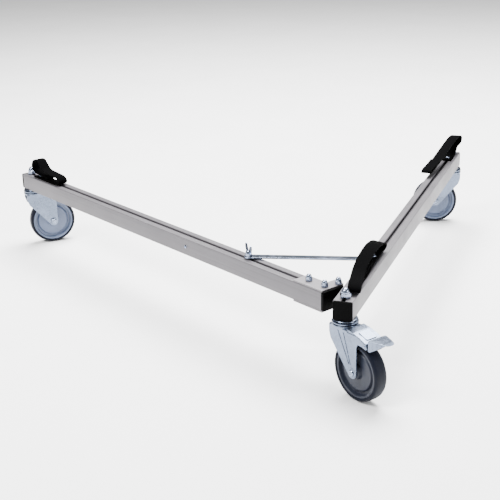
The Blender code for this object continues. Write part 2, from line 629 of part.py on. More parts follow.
def main():
    clear_scene()
    materials = make_materials()
    pivot = make_empty("fold_pivot", (0, 0, 0))
    right_arm = make_empty("right_arm_axis", (0, 0, 0), RIGHT_ARM_HEADING, pivot)
    left_arm = make_empty("left_arm_axis", (0, 0, 0), LEFT_ARM_HEADING, pivot)
    left_side, right_side = PIVOT_SIDE, -PIVOT_SIDE
    left_end = LEFT_ARM_START + LEFT_ARM_LENGTH
    right_end = RIGHT_ARM_START + RIGHT_ARM_LENGTH

    left_start = LEFT_ARM_START + BLOCK_FRONT
    left = arm_profile("left_arm", left_start, left_end - END_CAP - GAP, left_side,
                       materials["aluminium"], left_arm)
    right = arm_profile("right_arm", RIGHT_ARM_START + END_CAP + GAP, right_end - END_CAP - GAP,
                        right_side, materials["aluminium"], right_arm)
    end_cap("left_arm_end_cap", left_end - END_CAP, left_end, left_side, materials["black"], left_arm)
    end_cap("right_arm_front_cap", RIGHT_ARM_START, RIGHT_ARM_START + END_CAP, right_side,
            materials["black"], right_arm)
    end_cap("right_arm_rear_cap", right_end - END_CAP, right_end, right_side, materials["black"],
            right_arm)

    lug_hole = build_hinge(left_arm, right_arm, materials)
    bar_heading = brace_geometry()[1]
    brace = make_empty("brace_axis", (BRACE_PIVOT_X, right_side, 0), bar_heading, right_arm)
    build_brace(brace, left_arm, materials)
    build_brace_pivot(right_arm, materials)

    casters = (("left", left_arm, left_end - CASTER_INSET, left_side, LEFT_HEADING, False),
               ("front", right_arm, RIGHT_ARM_START + CASTER_INSET, right_side, FRONT_HEADING, True),
               ("right", right_arm, right_end - CASTER_INSET, right_side, RIGHT_HEADING, False))
    for prefix, arm, x, side, heading, braked in casters:
        swivel = build_caster(prefix, arm, x, side, heading, braked, materials)
        if braked:
            build_brake(swivel, materials)

    # Holes in the arms: stems and hinge bolts from top to bottom, screws in the sides.
    drill(left, M12_HOLE, [(left_end - CASTER_INSET, left_side)], 0.14, 0.22)
    drill(left, M8_HOLE, [(x, left_side) for x in PLATE_BOLTS_X], 0.14, 0.22)
    drill(right, M12_HOLE, [(RIGHT_ARM_START + CASTER_INSET, right_side),
                            (right_end - CASTER_INSET, right_side)], 0.14, 0.22)
    inner_wall = right_side + ARM_SIZE / 2
    drill(right, M5_HOLE, [lug_hole], inner_wall - 0.005, inner_wall + 0.002, axis="Y")

    build_strap("front_strap", FRONT_STRAP, RIGHT_ARM_START, right_side, right_arm, materials,
                BRACE_PIVOT_X, M8_HOLE)
    straps = (("left_strap", LEFT_STRAP, LEFT_ARM_START, left_side, left_arm, 1.140),
              ("right_strap", RIGHT_STRAP, RIGHT_ARM_START, right_side, right_arm, 1.102))
    for name, points, start, side, arm, anchor_at in straps:
        hole_x = start + anchor_at
        build_strap(name, points, start, side, arm, materials, hole_x, M5_HOLE)
        build_strap_anchor(name + "_anchor", hole_x, side, arm, materials)

    # A plugged fixing hole in the left arm's outer side.
    outer_wall = left_side + ARM_SIZE / 2
    middle = (ARM_BOTTOM + ARM_TOP) / 2
    drill(left, M5_HOLE, [(SIDE_SCREW_X, middle)], outer_wall - 0.005, outer_wall + 0.002, axis="Y")
    shape = bmesh.new()
    screw(shape, SIDE_SCREW_X, middle, outer_wall - 0.006, outer_wall + GAP, M5, 0.0040, 0.0015,
          axis="Y")
    finish_mesh("side_screw", shape, materials["steel"], left_arm, smooth=True)

    # The origin goes to the middle of the whole object's footprint.
    box = mesh_box()
    pivot.location = (-sum(box[0]) / 2, -sum(box[1]) / 2, 0)
    bpy.context.view_layer.update()


main()
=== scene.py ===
"""Looks of the folding stand dolly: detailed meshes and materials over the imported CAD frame."""

import json
from math import atan2, cos, pi, radians, sin, sqrt

import bmesh
import bpy
from mathutils import Matrix, Vector


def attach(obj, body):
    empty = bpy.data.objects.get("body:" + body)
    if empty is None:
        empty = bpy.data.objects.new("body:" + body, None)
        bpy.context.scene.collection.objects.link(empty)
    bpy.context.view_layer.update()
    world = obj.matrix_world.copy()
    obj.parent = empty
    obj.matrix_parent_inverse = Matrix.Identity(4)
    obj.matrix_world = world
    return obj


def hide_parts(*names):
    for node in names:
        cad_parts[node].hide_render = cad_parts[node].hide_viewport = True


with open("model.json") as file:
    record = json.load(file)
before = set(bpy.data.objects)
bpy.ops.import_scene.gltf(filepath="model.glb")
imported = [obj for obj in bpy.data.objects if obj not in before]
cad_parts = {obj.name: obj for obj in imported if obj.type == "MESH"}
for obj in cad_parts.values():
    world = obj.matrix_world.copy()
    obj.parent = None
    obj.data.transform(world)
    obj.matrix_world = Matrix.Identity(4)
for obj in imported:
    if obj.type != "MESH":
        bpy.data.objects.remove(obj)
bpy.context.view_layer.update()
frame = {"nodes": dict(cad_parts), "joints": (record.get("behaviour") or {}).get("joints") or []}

JOINTS = {joint["name"]: joint for joint in frame["joints"]}

# Sizes that the CAD model fixes, in metres. GAP is the clearance between pieces that lie on each
# other, and M8, M12 and AXLE are the radii of shanks.
GAP = 0.0003
M8, M12, AXLE = 0.004, 0.006, 0.004

# Arms: X runs along each arm from the fold pivot.
ARM_SIZE = 0.040
ARM_TOP = 0.200
ARM_BOTTOM = ARM_TOP - ARM_SIZE
ARM_MIDDLE = (ARM_BOTTOM + ARM_TOP) / 2
PIVOT_SIDE = 0.031
OPEN_ANGLE = radians(60)
LEFT_ARM_START, LEFT_ARM_LENGTH = -0.0095, 1.213
LEFT_ARM_END = LEFT_ARM_START + LEFT_ARM_LENGTH
RIGHT_ARM_START, RIGHT_ARM_LENGTH = -0.082, 1.189
RIGHT_ARM_END = RIGHT_ARM_START + RIGHT_ARM_LENGTH
SLOT_HALF, CHANNEL_HALF, SLOT_LIP, CHANNEL_DEPTH = 0.0042, 0.0080, 0.0045, 0.0065
CORNER_RADIUS = 0.0015
BLOCK_FRONT, END_CAP, COLLAR = 0.0062, 0.004, 0.008
SIDE_SCREW_X, LUG_SCREW_X = 0.444, 0.020
LUG_FACE = 0.0046

# Grooves along the top face: their distances from its middle, depth and half width.
LINE_PLACES = (0.0155, 0.0125, 0.0095, 0.0068)
LINE_DEPTH, LINE_HALF = 0.00025, 0.00035

# Hinge plates and domed nuts. A nut's two sizes are its width over flats and its height.
PLATE = 0.003
PLATE_FACE = PLATE + 2 * GAP
PLATE_BOLTS_X = (0.007, 0.053)
M8_NUT, M12_NUT = (0.013, 0.015), (0.019, 0.021)

# Brace
BRACE_PIVOT_X = 0.156
BRACE_HALF, BRACE_LIFT, BRACE_THICKNESS = 0.010, 0.0033, 0.003
BAR_LOW = ARM_TOP + BRACE_LIFT
BAR_TOP = BAR_LOW + BRACE_THICKNESS
WING_HEADING = radians(102)

# Casters: X runs along the trail from the swivel axis, and Z up from the floor.
CASTER_INSET = 0.0225
TRAIL, WHEEL_RADIUS = 0.045, 0.0625
CROWN_TOP = 0.150
HEAD_RADIUS = 0.027
FORK_HALF, SHEET = 0.0222, 0.0025
AXLE_HOLE = AXLE + GAP
BOSS_RISE = 0.0010
PEDAL_X, PEDAL_Z = 0.0800, 0.1300

# Straps. A height is that of the tape's middle over the arm's top.
STRAP_WIDTH, STRAP_THICKNESS = 0.027, 0.0030
STRAP_HEIGHT, FRONT_STRAP_HEIGHT = 0.0022, 0.0083
LEFT_RIVET_X, RIGHT_RIVET_X = 1.140, 1.102

# Camera, fitted to the photograph: place in metres, lens and sensor in millimetres.
CAMERA_PLACE = (-0.478, -2.395, 1.001)
CAMERA_HEADING, CAMERA_TILT, CAMERA_ROLL = radians(80.61), radians(19.65), radians(-1.376)
CAMERA_LENS, CAMERA_SENSOR = 78.3, 36.0

# Floor, and the three soft lights: name, place, size and power in watts.
FLOOR_HALF, FLOOR_Z = 40, -0.0005
WORLD_STRENGTH = 0.5
LIGHTS = (("key", (-2.4, -1.4, 3.2), 1.4, 260), ("fill", (2.6, -2.4, 1.6), 1.2, 60),
          ("top", (0.6, 1.4, 3.6), 3.0, 900))
LIGHT_TARGET = (0, 0, 0.1)


# ----------------------------------------------------------------------------------- placement

def turned_about_z(point, heading):
    """A frame at a point, level, with its X turned to a heading."""
    return Matrix.Translation(Vector(point)) @ Matrix.Rotation(heading, 4, "Z")


def arm_axes():
    """Each arm's own axes: X along the arm from the fold pivot, Z from the floor."""
    pivot = Vector(JOINTS["arm_fold"]["pos_m"])
    pivot.z = 0.0
    along = JOINTS["clamp_nut_slide"]["axis"]
    heading = atan2(along[1], along[0])
    return {"left": turned_about_z(pivot, heading), "right": turned_about_z(pivot, heading - OPEN_ANGLE)}


def caster_axes(prefix):
    """A caster's own axes: Z up its swivel axis from the floor, X along the trail."""
    swivel = Vector(JOINTS[prefix + "_swivel"]["pos_m"])
    wheel = Vector(JOINTS[prefix + "_wheel_spin"]["pos_m"])
    return turned_about_z((swivel.x, swivel.y, 0), atan2(wheel.y - swivel.y, wheel.x - swivel.x))


ARMS = arm_axes()
SIDES = {"left": PIVOT_SIDE, "right": -PIVOT_SIDE}


# ----------------------------------------------------------------------------------- materials

class Nodes:
    """A small helper that adds and links shader nodes."""

    def __init__(self, name):
        self.material = bpy.data.materials.new(name)
        self.material.use_nodes = True
        self.tree = self.material.node_tree
        self.shader = self.tree.nodes["Principled BSDF"]

    def add(self, kind, inputs=(), **settings):
        node = self.tree.nodes.new("ShaderNode" + kind)
        for key, value in settings.items():
            setattr(node, key, value)
        for key, value in dict(inputs).items():
            if isinstance(value, bpy.types.NodeSocket):
                self.tree.links.new(value, node.inputs[key])
            else:
                node.inputs[key].default_value = value
        return node

    def place(self, stretch=(1, 1, 1), source="Object"):
        coordinates = self.add("TexCoord").outputs[source]
        return self.add("Mapping", {"Vector": coordinates, "Scale": stretch}).outputs["Vector"]

    def noise(self, where, scale, detail=4.0, roughness=0.6):
        return self.add("TexNoise", {"Vector": where, "Scale": scale, "Detail": detail,
                                     "Roughness": roughness}).outputs["Fac"]

    def ramp(self, factor, stops):
        node = self.add("ValToRGB", {"Fac": factor})
        elements = node.color_ramp.elements
        while len(elements) < len(stops):
            elements.new(0.5)
        for element, (position, colour) in zip(elements, stops):
            element.position = position
            element.color = (*colour, 1.0)
        return node.outputs["Color"]

    def span(self, factor, low, high, start=0.3, stop=0.7):
        return self.add("MapRange", {"Value": factor, "From Min": start, "From Max": stop,
                                     "To Min": low, "To Max": high}).outputs["Result"]

    def mix(self, factor, first, second):
        node = self.add("MixRGB", {"Fac": factor, "Color1": first, "Color2": second})
        return node.outputs["Color"]

    def bump(self, height, distance, strength=1.0, below=None):
        inputs = {"Height": height, "Distance": distance, "Strength": strength}
        if below:
            inputs["Normal"] = below
        return self.add("Bump", inputs).outputs["Normal"]

    def edge_wear(self, width):
        """1 on worn edges and 0 elsewhere: how far a rounded normal leans from the real one."""
        rounded = self.add("Bevel", {"Radius": width}, samples=4).outputs["Normal"]
        real = self.add("NewGeometry").outputs["Normal"]
        lean = self.add("VectorMath", {0: rounded, 1: real}, operation="DOT_PRODUCT")
        return self.span(lean.outputs["Value"], 1.0, 0.0, 0.80, 0.985)

    def finish(self, colour, roughness, normal, metallic, **sockets):
        for key, value in (("Base Color", colour), ("Roughness", roughness), ("Normal", normal)):
            self.tree.links.new(value, self.shader.inputs[key])
        self.shader.inputs["Metallic"].default_value = metallic
        for key, value in sockets.items():
            self.shader.inputs[key.replace("_", " ")].default_value = value
        return self.material


def shade(colour, amount):
    """The colour made lighter or darker, and never past white."""
    return tuple(min(1.0, channel * amount) for channel in colour)


def drawn_metal(name, colour, roughness, metallic, stretch):
    """Extruded or rolled metal: fine lines along X, soft stains and worn edges."""
    grain = 0.00004
    nodes = Nodes(name)
    lines = nodes.noise(nodes.place(stretch), 1.0, 3.0)
    stains = nodes.noise(nodes.place(), 9.0, 5.0, 0.65)
    specks = nodes.noise(nodes.place(), 900.0, 2.0)
    tone = nodes.ramp(lines, [(0.25, shade(colour, 0.86)), (0.75, shade(colour, 1.12))])
    cloud = nodes.ramp(stains, [(0.3, (0.90, 0.90, 0.91)), (0.7, (1.0, 1.0, 1.0))])
    mixed = nodes.add("MixRGB", {"Fac": 0.8, "Color1": tone, "Color2": cloud}, blend_type="MULTIPLY")
    worn = nodes.mix(nodes.edge_wear(0.0008), mixed.outputs["Color"], (*shade(colour, 1.5), 1.0))
    rough = nodes.span(stains, roughness - 0.05, roughness + 0.09)
    normal = nodes.bump(lines, grain, 0.5, nodes.bump(specks, grain, 0.35))
    return nodes.finish(worn, rough, normal, metallic)


def plated_steel(name, colour, roughness, mottle, dents=0.00010):
    """Bright zinc: a faint spangle, shallow press waves and small scratches."""
    nodes = Nodes(name)
    where = nodes.place()
    spangle = nodes.add("TexVoronoi", {"Vector": where, "Scale": 260.0}).outputs["Color"]
    grey = nodes.add("RGBToBW", {"Color": spangle}).outputs["Val"]
    cloud = nodes.noise(where, 35.0, 5.0, 0.7)
    scratch = nodes.noise(nodes.place((900, 60, 120)), 1.0, 3.0)
    tone = nodes.ramp(cloud, [(0.3, shade(colour, 1 - mottle)), (0.7, shade(colour, 1 + mottle))])
    flecks = nodes.ramp(grey, [(0.0, (0.90, 0.90, 0.92)), (1.0, (1.0, 1.0, 1.0))])
    mixed = nodes.add("MixRGB", {"Fac": 0.7, "Color1": tone, "Color2": flecks}, blend_type="MULTIPLY")
    worn = nodes.mix(nodes.edge_wear(0.0006), mixed.outputs["Color"], (*shade(colour, 1.35), 1.0))
    rough = nodes.span(cloud, roughness - 0.06, roughness + 0.10)
    normal = nodes.bump(cloud, dents, 0.6, nodes.bump(scratch, 0.00003, 0.4))
    return nodes.finish(worn, rough, normal, 1.0)


def moulded(name, colour, roughness, grain, scale, wear, dust=None, **sockets):
    """Moulded plastic or rubber: a fine grain, uneven sheen, paler edges and a little dust."""
    nodes = Nodes(name)
    where = nodes.place()
    skin = nodes.noise(where, scale, 3.0)
    cloud = nodes.noise(where, 22.0, 5.0, 0.65)
    tone = nodes.ramp(cloud, [(0.3, shade(colour, 0.85)), (0.7, shade(colour, 1.2))])
    if dust:
        spots = nodes.span(nodes.noise(where, 70.0, 6.0, 0.75), 0.0, 0.35, 0.52, 0.72)
        tone = nodes.mix(spots, tone, (*dust, 1.0))
    worn = nodes.mix(nodes.edge_wear(0.0007), tone, (*shade(colour, wear), 1.0))
    rough = nodes.span(cloud, roughness - 0.06, roughness + 0.08)
    normal = nodes.bump(skin, grain, 0.6)
    return nodes.finish(worn, rough, normal, 0.0, **sockets)


def webbing():
    """Woven tape: ribs across, twill rows along, on the band's own length and width."""
    nodes = Nodes("black_webbing_look")
    along = nodes.place(source="UV")
    ribs = nodes.add("TexWave", {"Vector": along, "Scale": 260.0, "Distortion": 0.6,
                                 "Detail": 1.0}, bands_direction="X").outputs["Fac"]
    rows = nodes.add("TexWave", {"Vector": along, "Scale": 180.0, "Distortion": 0.4},
                     bands_direction="Y").outputs["Fac"]
    weave = nodes.add("Math", {0: ribs, 1: rows}, operation="MULTIPLY").outputs["Value"]
    fuzz = nodes.noise(nodes.place(), 600.0, 4.0)
    dark, pale = (0.0001, 0.0001, 0.0002), (0.0009, 0.0009, 0.0011)
    tone = nodes.ramp(weave, [(0.1, dark), (0.9, pale)])
    lint = nodes.mix(nodes.span(fuzz, 0.0, 0.25, 0.55, 0.75), tone, (0.002, 0.002, 0.0024, 1.0))
    rough = nodes.span(fuzz, 0.78, 0.95)
    normal = nodes.bump(weave, 0.0003, 0.7, nodes.bump(fuzz, 0.0002, 0.4))
    return nodes.finish(lint, rough, normal, 0.0, Specular_IOR_Level=0.02)


def make_looks():
    return {
        "aluminium": drawn_metal("anodised_look", (0.105, 0.099, 0.107), roughness=0.45,
                                 metallic=0.45, stretch=(3, 420, 420)),
        "plate": drawn_metal("plate_look", (0.16, 0.152, 0.16), roughness=0.48, metallic=0.6,
                             stretch=(8, 300, 300)),
        "black": moulded("black_plastic_look", (0.0003, 0.0003, 0.0004), roughness=0.5,
                         grain=0.00005, scale=1400.0, wear=20.0, Specular_IOR_Level=0.03),
        "steel": plated_steel("bright_zinc_look", (0.24, 0.28, 0.37), roughness=0.16, mottle=0.45),
        "zinc": plated_steel("fork_zinc_look", (0.15, 0.18, 0.24), roughness=0.26, mottle=0.25,
                             dents=0.00022),
        "pale_rim": moulded("pale_rim_look", (0.085, 0.11, 0.175), roughness=0.40, grain=0.00004,
                            scale=1200.0, wear=1.6, Specular_IOR_Level=0.4),
        "dark_rim": moulded("dark_rim_look", (0.014, 0.017, 0.028), roughness=0.42, grain=0.00004,
                            scale=1200.0, wear=2.2, Specular_IOR_Level=0.3),
        "tyre": moulded("tyre_look", (0.0030, 0.0042, 0.0095), roughness=0.50, grain=0.00008,
                        scale=900.0, wear=2.0, dust=(0.008, 0.010, 0.016), Specular_IOR_Level=0.10),
        "webbing": webbing(),
    }


LOOKS = make_looks()


# ------------------------------------------------------------------------------- mesh building

def finish_mesh(name, shape, look, place, body, *nodes, sharp=35.0, bevel=0.0):
    """Turn a bmesh into a piece that rides on a body and stands for CAD nodes."""
    bmesh.ops.recalc_face_normals(shape, faces=shape.faces)
    mesh = bpy.data.meshes.new(name)
    shape.to_mesh(mesh)
    shape.free()
    mesh.materials.append(LOOKS[look])
    mesh.shade_smooth()
    mesh.set_sharp_from_angle(angle=radians(sharp))
    piece = bpy.data.objects.new(name, mesh)
    bpy.context.scene.collection.objects.link(piece)
    piece.matrix_world = place
    if bevel:
        add_bevel(piece, bevel)
    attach(piece, body)
    if nodes:
        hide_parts(*nodes)
    return piece


def add_bevel(piece, width, segments=2):
    """Round the piece's edges off."""
    modifier = piece.modifiers.new("Soft edges", "BEVEL")
    modifier.width = width
    modifier.segments = segments
    modifier.limit_method = "ANGLE"
    modifier.angle_limit = radians(30)
    modifier.harden_normals = True


def add_turned(shape, outline, sides=64, centre=(0, 0, 0), axis="Z", hexagon=()):
    """Add a turned body from (radius, height) points, closed or with both ends on the axis.
    The points whose numbers are in hexagon get six flats."""
    rings = []
    for number, (radius, height) in enumerate(outline):
        ring = []
        for step in range(sides if radius > 0 else 1):
            angle = 2 * pi * step / sides
            reach = radius
            if number in hexagon:
                reach = radius / cos((angle + pi / 6) % (pi / 3) - pi / 6)
            across, along = reach * cos(angle), reach * sin(angle)
            point = (across, along, height) if axis == "Z" else (across, height, along)
            ring.append(shape.verts.new(Vector(centre) + Vector(point)))
        rings.append(ring)
    pairs = list(zip(rings, rings[1:])) + ([(rings[-1], rings[0])] if outline[0][0] > 0 else [])
    for first, second in pairs:
        for step in range(sides):
            corners = [first[step % len(first)], first[(step + 1) % len(first)]]
            corners += [second[(step + 1) % len(second)], second[step % len(second)]]
            shape.faces.new(list(dict.fromkeys(corners)))


def add_prism(shape, outline, low, high, point_of):
    """Add an outline drawn out from low to high. point_of says which way the prism stands."""
    bottom = [shape.verts.new(point_of(u, v, low)) for u, v in outline]
    top = [shape.verts.new(point_of(u, v, high)) for u, v in outline]
    shape.faces.new(bottom)
    shape.faces.new(top)
    for index in range(len(outline)):
        after = (index + 1) % len(outline)
        shape.faces.new((bottom[index], bottom[after], top[after], top[index]))


def lengthwise(u, v, w):
    """Outline in Y and Z, drawn out along X."""
    return (w, u, v)


def upright(u, v, w):
    """Outline in X and Z, drawn out along Y."""
    return (u, w, v)


def flat(u, v, w):
    """Outline in X and Y, drawn out along Z."""
    return (u, v, w)


def arc(x, y, radius, start, stop, steps):
    """Points on an arc about (x, y), with its ends in degrees."""
    turn = [radians(start + (stop - start) * step / steps) for step in range(steps + 1)]
    return [(x + radius * cos(angle), y + radius * sin(angle)) for angle in turn]


def smooth_path(points, per_span):
    """A Catmull-Rom curve through points of any length."""
    knots = [Vector(point) for point in points]
    knots = [2 * knots[0] - knots[1]] + knots + [2 * knots[-1] - knots[-2]]
    path = []
    for a, b, c, d in zip(knots, knots[1:], knots[2:], knots[3:]):
        for step in range(per_span):
            t = step / per_span
            path.append(0.5 * (2 * b + (c - a) * t + (2 * a - 5 * b + 4 * c - d) * t ** 2
                               + (3 * b - a - 3 * c + d) * t ** 3))
    path.append(knots[-2])
    return path


def eased(outline, radius, steps=3, closed=True):
    """The outline with each corner cut to a short curve, no longer than the sides allow."""
    points = [Vector(point) for point in outline]
    result = []
    for index, corner in enumerate(points):
        if not closed and index in (0, len(points) - 1):
            result.append(tuple(corner))
            continue
        before, after = points[index - 1], points[(index + 1) % len(points)]
        start = corner + (before - corner) * min(0.45, radius / (before - corner).length)
        stop = corner + (after - corner) * min(0.45, radius / (after - corner).length)
        for step in range(steps + 1):
            t = step / steps
            result.append(tuple((1 - t) ** 2 * start + 2 * t * (1 - t) * corner + t ** 2 * stop))
    return result


def rounded_box(left, right, low, high, radius, steps=4):
    """The outline of a box with rounded corners."""
    return eased([(left, low), (right, low), (right, high), (left, high)], radius, steps)


def turned(name, outline, look, place, body, *nodes, sides=64, sharp=35.0, **options):
    """A piece made of one turned body."""
    shape = bmesh.new()
    add_turned(shape, outline, sides, **options)
    return finish_mesh(name, shape, look, place, body, *nodes, sharp=sharp)


def restyle(node, look, bevel, segments=2):
    """Show a CAD node itself, with softened edges and a better material."""
    shown = frame["nodes"][node]
    shown.data.materials.clear()
    shown.data.materials.append(LOOKS[look])
    weld = shown.modifiers.new("Join corners", "WELD")
    weld.merge_threshold = 0.00001
    if bevel:
        add_bevel(shown, bevel, segments)


# ---------------------------------------------------------------------------------------- arms

def arm_outline(side):
    """The extrusion's section: rounded corners, a T-slot, and fine lines beside it."""
    half = ARM_SIZE / 2
    left, right, low, high = side - half, side + half, ARM_BOTTOM, ARM_TOP
    lip, floor = high - SLOT_LIP, high - SLOT_LIP - CHANNEL_DEPTH
    round_off = CORNER_RADIUS
    points = arc(right - round_off, high - round_off, round_off, 0, 90, 5)
    points += fine_lines(side, LINE_PLACES)
    points += [(side + SLOT_HALF + 0.0011, high), (side + SLOT_HALF, high - 0.0008),
               (side + SLOT_HALF, lip), (side + CHANNEL_HALF, lip), (side + CHANNEL_HALF, floor),
               (side - CHANNEL_HALF, floor), (side - CHANNEL_HALF, lip), (side - SLOT_HALF, lip),
               (side - SLOT_HALF, high - 0.0008), (side - SLOT_HALF - 0.0011, high)]
    points += fine_lines(side, [-place for place in reversed(LINE_PLACES)])
    points += arc(left + round_off, high - round_off, round_off, 90, 180, 5)
    points += arc(left + round_off, low + round_off, round_off, 180, 270, 5)
    return points + arc(right - round_off, low + round_off, round_off, 270, 360, 5)


def fine_lines(side, places):
    """Shallow grooves pressed along the top face."""
    points = []
    for place in places:
        middle = side + place
        points += [(middle + LINE_HALF, ARM_TOP), (middle, ARM_TOP - LINE_DEPTH),
                   (middle - LINE_HALF, ARM_TOP)]
    return points


def build_arm(name, start, end):
    """One arm's extrusion, between its end caps."""
    shape = bmesh.new()
    add_prism(shape, arm_outline(SIDES[name]), start, end, lengthwise)
    finish_mesh(name + "_arm_profile", shape, "aluminium", ARMS[name], name + "_arm", name + "_arm",
                sharp=25.0)


def cap_nut(name, place, body, x, y, base, size, node):
    """A domed nut: chamfered flats, a small collar and a round dome."""
    flats, height = size
    half, waist = flats / 2, 0.52 * height
    dome = [(0.455 * flats * cos(a), base + waist + (height - waist) * sin(a))
            for a in [radians(9 * step) for step in range(10)]]
    outline = [(0, base), (half, base), (half, base + 0.0008), (half, base + waist - 0.0012),
               (half, base + waist - 0.0003), (0.475 * flats, base + waist)]
    outline += dome + [(0, base + height)]
    turned(name, outline, "steel", place, body, node, sides=72, sharp=24.0,
           centre=(x, y, 0), hexagon=(2, 3))


def dome_screw(name, place, body, x, y, base, radius, height, node, axis="Z", shank=0.0025,
               depth=0.006):
    """A domed head with a hexagon socket, on a plain shank."""
    socket = 0.42 * radius
    dome = [(radius * cos(a), base + 0.3 * height + 0.7 * height * sin(a))
            for a in [radians(9 * step) for step in range(7)]]
    outline = [(0, base - depth), (shank, base - depth), (shank, base), (radius * 0.96, base),
               (radius, base + 0.1 * height)] + dome
    outline += [(socket * 1.25, base + height), (socket, base + 0.93 * height),
                (socket, base + 0.35 * height), (0, base + 0.35 * height)]
    last = len(outline) - 1
    centre = (x, y, 0) if axis == "Z" else (x, 0, y)
    turned(name, outline, "steel", place, body, node, sides=72, sharp=30.0, centre=centre,
           axis=axis, hexagon=(last - 2, last - 1))


def build_arms():
    build_arm("left", LEFT_ARM_START + BLOCK_FRONT, LEFT_ARM_END - COLLAR - GAP)
    shape = bmesh.new()
    half = ARM_SIZE / 2
    face = rounded_box(PIVOT_SIDE - half, PIVOT_SIDE + half, ARM_BOTTOM, ARM_TOP, 0.004, 6)
    add_prism(shape, face, LEFT_ARM_END - COLLAR, LEFT_ARM_END, lengthwise)
    finish_mesh("left_arm_moulded_cap", shape, "black", ARMS["left"], "left_arm",
                "left_arm_end_cap", bevel=0.0012)
    build_arm("right", RIGHT_ARM_START + END_CAP + GAP, RIGHT_ARM_END - END_CAP - GAP)
    for cap in ("right_arm_front_cap", "right_arm_rear_cap"):
        restyle(cap, "black", 0.0011, 4)
    dome_screw("side_domed_screw", ARMS["left"], "left_arm", SIDE_SCREW_X, ARM_MIDDLE,
               PIVOT_SIDE + half + GAP, 0.0040, 0.0017, "side_screw", axis="Y")


def build_hinge():
    """The hinge's plastic blocks, its two plates, and the bolts and domed nuts through them."""
    for node in ("hinge_block", "hinge_lug"):
        restyle(node, "black", 0.0007, 3)
    for node in ("hinge_top_plate", "hinge_bottom_plate"):
        restyle(node, "plate", 0.0006, 3)
    place, body = ARMS["left"], "left_arm"
    high, low = ARM_TOP + PLATE_FACE, ARM_BOTTOM - PLATE_FACE
    shank_top = high + 0.011
    head = [(0, low - 0.004), (0.003, low - 0.0039), (0.0055, low - 0.0032),
            (0.0072, low - 0.0019), (0.0078, low - 0.0006), (0.0078, low), (M8, low),
            (M8, shank_top), (0, shank_top)]
    front, rear = PLATE_BOLTS_X
    for name, x, y in (("hinge_front", front, PIVOT_SIDE), ("hinge_rear", rear, PIVOT_SIDE),
                       ("pivot", 0, 0)):
        cap_nut(name + "_domed_nut", place, body, x, y, high, M8_NUT, name + "_nut")
        turned(name + "_domed_bolt", head, "steel", place, body, name + "_bolt", centre=(x, y, 0))
    dome_screw("hinge_lug_domed_screw", ARMS["right"], "right_arm", LUG_SCREW_X, ARM_MIDDLE,
               -PIVOT_SIDE + ARM_SIZE / 2 + LUG_FACE, 0.0042, 0.0026, "hinge_lug_screw", axis="Y")


# --------------------------------------------------------------------------------------- brace

def build_brace():
    """The flat bar, the nuts and spacer in the slots, and the screw at its pivot."""
    pivot = Vector(JOINTS["brace_swing"]["pos_m"])
    along = Vector(JOINTS["wing_screw_turn"]["pos_m"]) - pivot
    length = sqrt(along.x ** 2 + along.y ** 2)
    place = turned_about_z((pivot.x, pivot.y, 0), atan2(along.y, along.x))
    shape = bmesh.new()
    outline = arc(0, 0, BRACE_HALF, 90, 270, 24) + arc(length, 0, BRACE_HALF, -90, 90, 24)
    add_prism(shape, outline, BAR_LOW, BAR_TOP, flat)
    finish_mesh("brace_flat_bar", shape, "steel", place, "brace", "brace_bar", bevel=0.0006)
    for node in ("clamp_nut", "brace_slot_nut"):
        restyle(node, "steel", 0.0003)
    restyle("brace_spacer", "steel", 0.0)
    head = ARM_TOP + FRONT_STRAP_HEIGHT + STRAP_THICKNESS / 2 + GAP
    dome_screw("brace_pivot_domed_screw", ARMS["right"], "right_arm", BRACE_PIVOT_X, -PIVOT_SIDE,
               head, 0.0072, 0.0050, "brace_pivot_screw", shank=M8, depth=head - ARM_TOP + 0.0105)


def build_wing_screw():
    """A cast hub with two curved leaves. Its shank ends inside the bar."""
    wing = Vector(JOINTS["wing_screw_turn"]["pos_m"])
    place = turned_about_z((wing.x, wing.y, 0), WING_HEADING)
    base, shank, leaf_half = BAR_TOP + GAP, 0.0028, 0.0015
    shape = bmesh.new()
    hub = [(0, base - shank), (M8, base - shank), (M8, base), (0.0072, base),
           (0.0075, base + 0.0004), (0.0070, base + 0.0050), (0.0064, base + 0.0100),
           (0.0056, base + 0.0114), (0.0044, base + 0.0120), (0, base + 0.0120)]
    add_turned(shape, hub, 64)
    leaf = [(0.003, base + 0.003), (0.010, base + 0.006), (0.0165, base + 0.017),
            (0.0165, base + 0.024), (0.0125, base + 0.027), (0.0085, base + 0.022),
            (0.003, base + 0.011)]
    leaf = eased(leaf, 0.006, 6)
    for way in (1, -1):
        add_prism(shape, [(way * x, z) for x, z in leaf], -leaf_half, leaf_half, upright)
    finish_mesh("wing_screw_body", shape, "steel", place, "wing_screw", "wing_screw", bevel=0.0009)


# ------------------------------------------------------------------------------------- casters

def fork_side(braked):
    """One side of the fork in X (along the trail) and Z, below the bend."""
    boss = arc(TRAIL, WHEEL_RADIUS, 0.012, 218, 360, 24)
    points = [(-0.0228, 0.143), (-0.0225, 0.130), (-0.0180, 0.1165)] + boss
    points += [(TRAIL + 0.012, 0.1200)]
    if braked:
        points += [(0.061, 0.1275), (0.072, 0.1272), (0.083, 0.1245), (0.0875, 0.1270),
                   (0.0845, 0.1325), (0.066, 0.1402), (0.058, 0.143)]
    else:
        points += [(0.0555, 0.1310), (0.048, 0.1385), (0.038, 0.143)]
    return points


